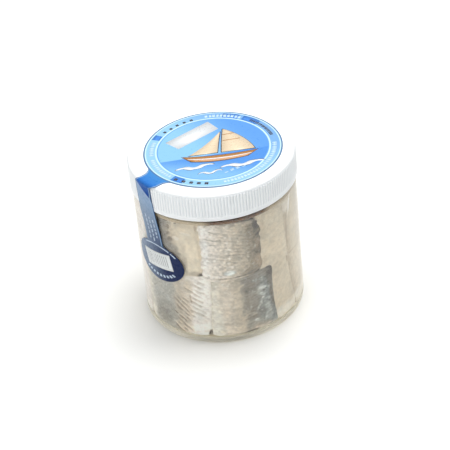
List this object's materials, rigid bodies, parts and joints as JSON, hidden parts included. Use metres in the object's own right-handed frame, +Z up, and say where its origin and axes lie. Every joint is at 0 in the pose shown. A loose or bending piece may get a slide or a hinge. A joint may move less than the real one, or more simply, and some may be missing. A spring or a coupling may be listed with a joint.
{
  "type": "jar of herring in oil",
  "caption": "Shut round clear plastic jar packed with herring fillet pieces in oil, with a white ribbed screw lid and a printed film label over its top and side.",
  "frame": {"origin": "centre of the jar's base, in the plane of its foot ring", "axes": "+Z up along the jar's axis, -Y towards the shown front, the label strip at the front left"},
  "size_m": [0.0916, 0.0916, 0.1005],
  "materials": {
    "jar_plastic": "clear, glossy",
    "lid_plastic": "white, satin, finely ribbed side",
    "label_film": "printed film, satin gloss",
    "herring": "wet, oily fish flesh and silver skin"
  },
  "bodies": {
    "root": {"jar": "jar_plastic", "lid": "lid_plastic", "label": "label_film", "herring": "herring"}
  },
  "joints": []
}
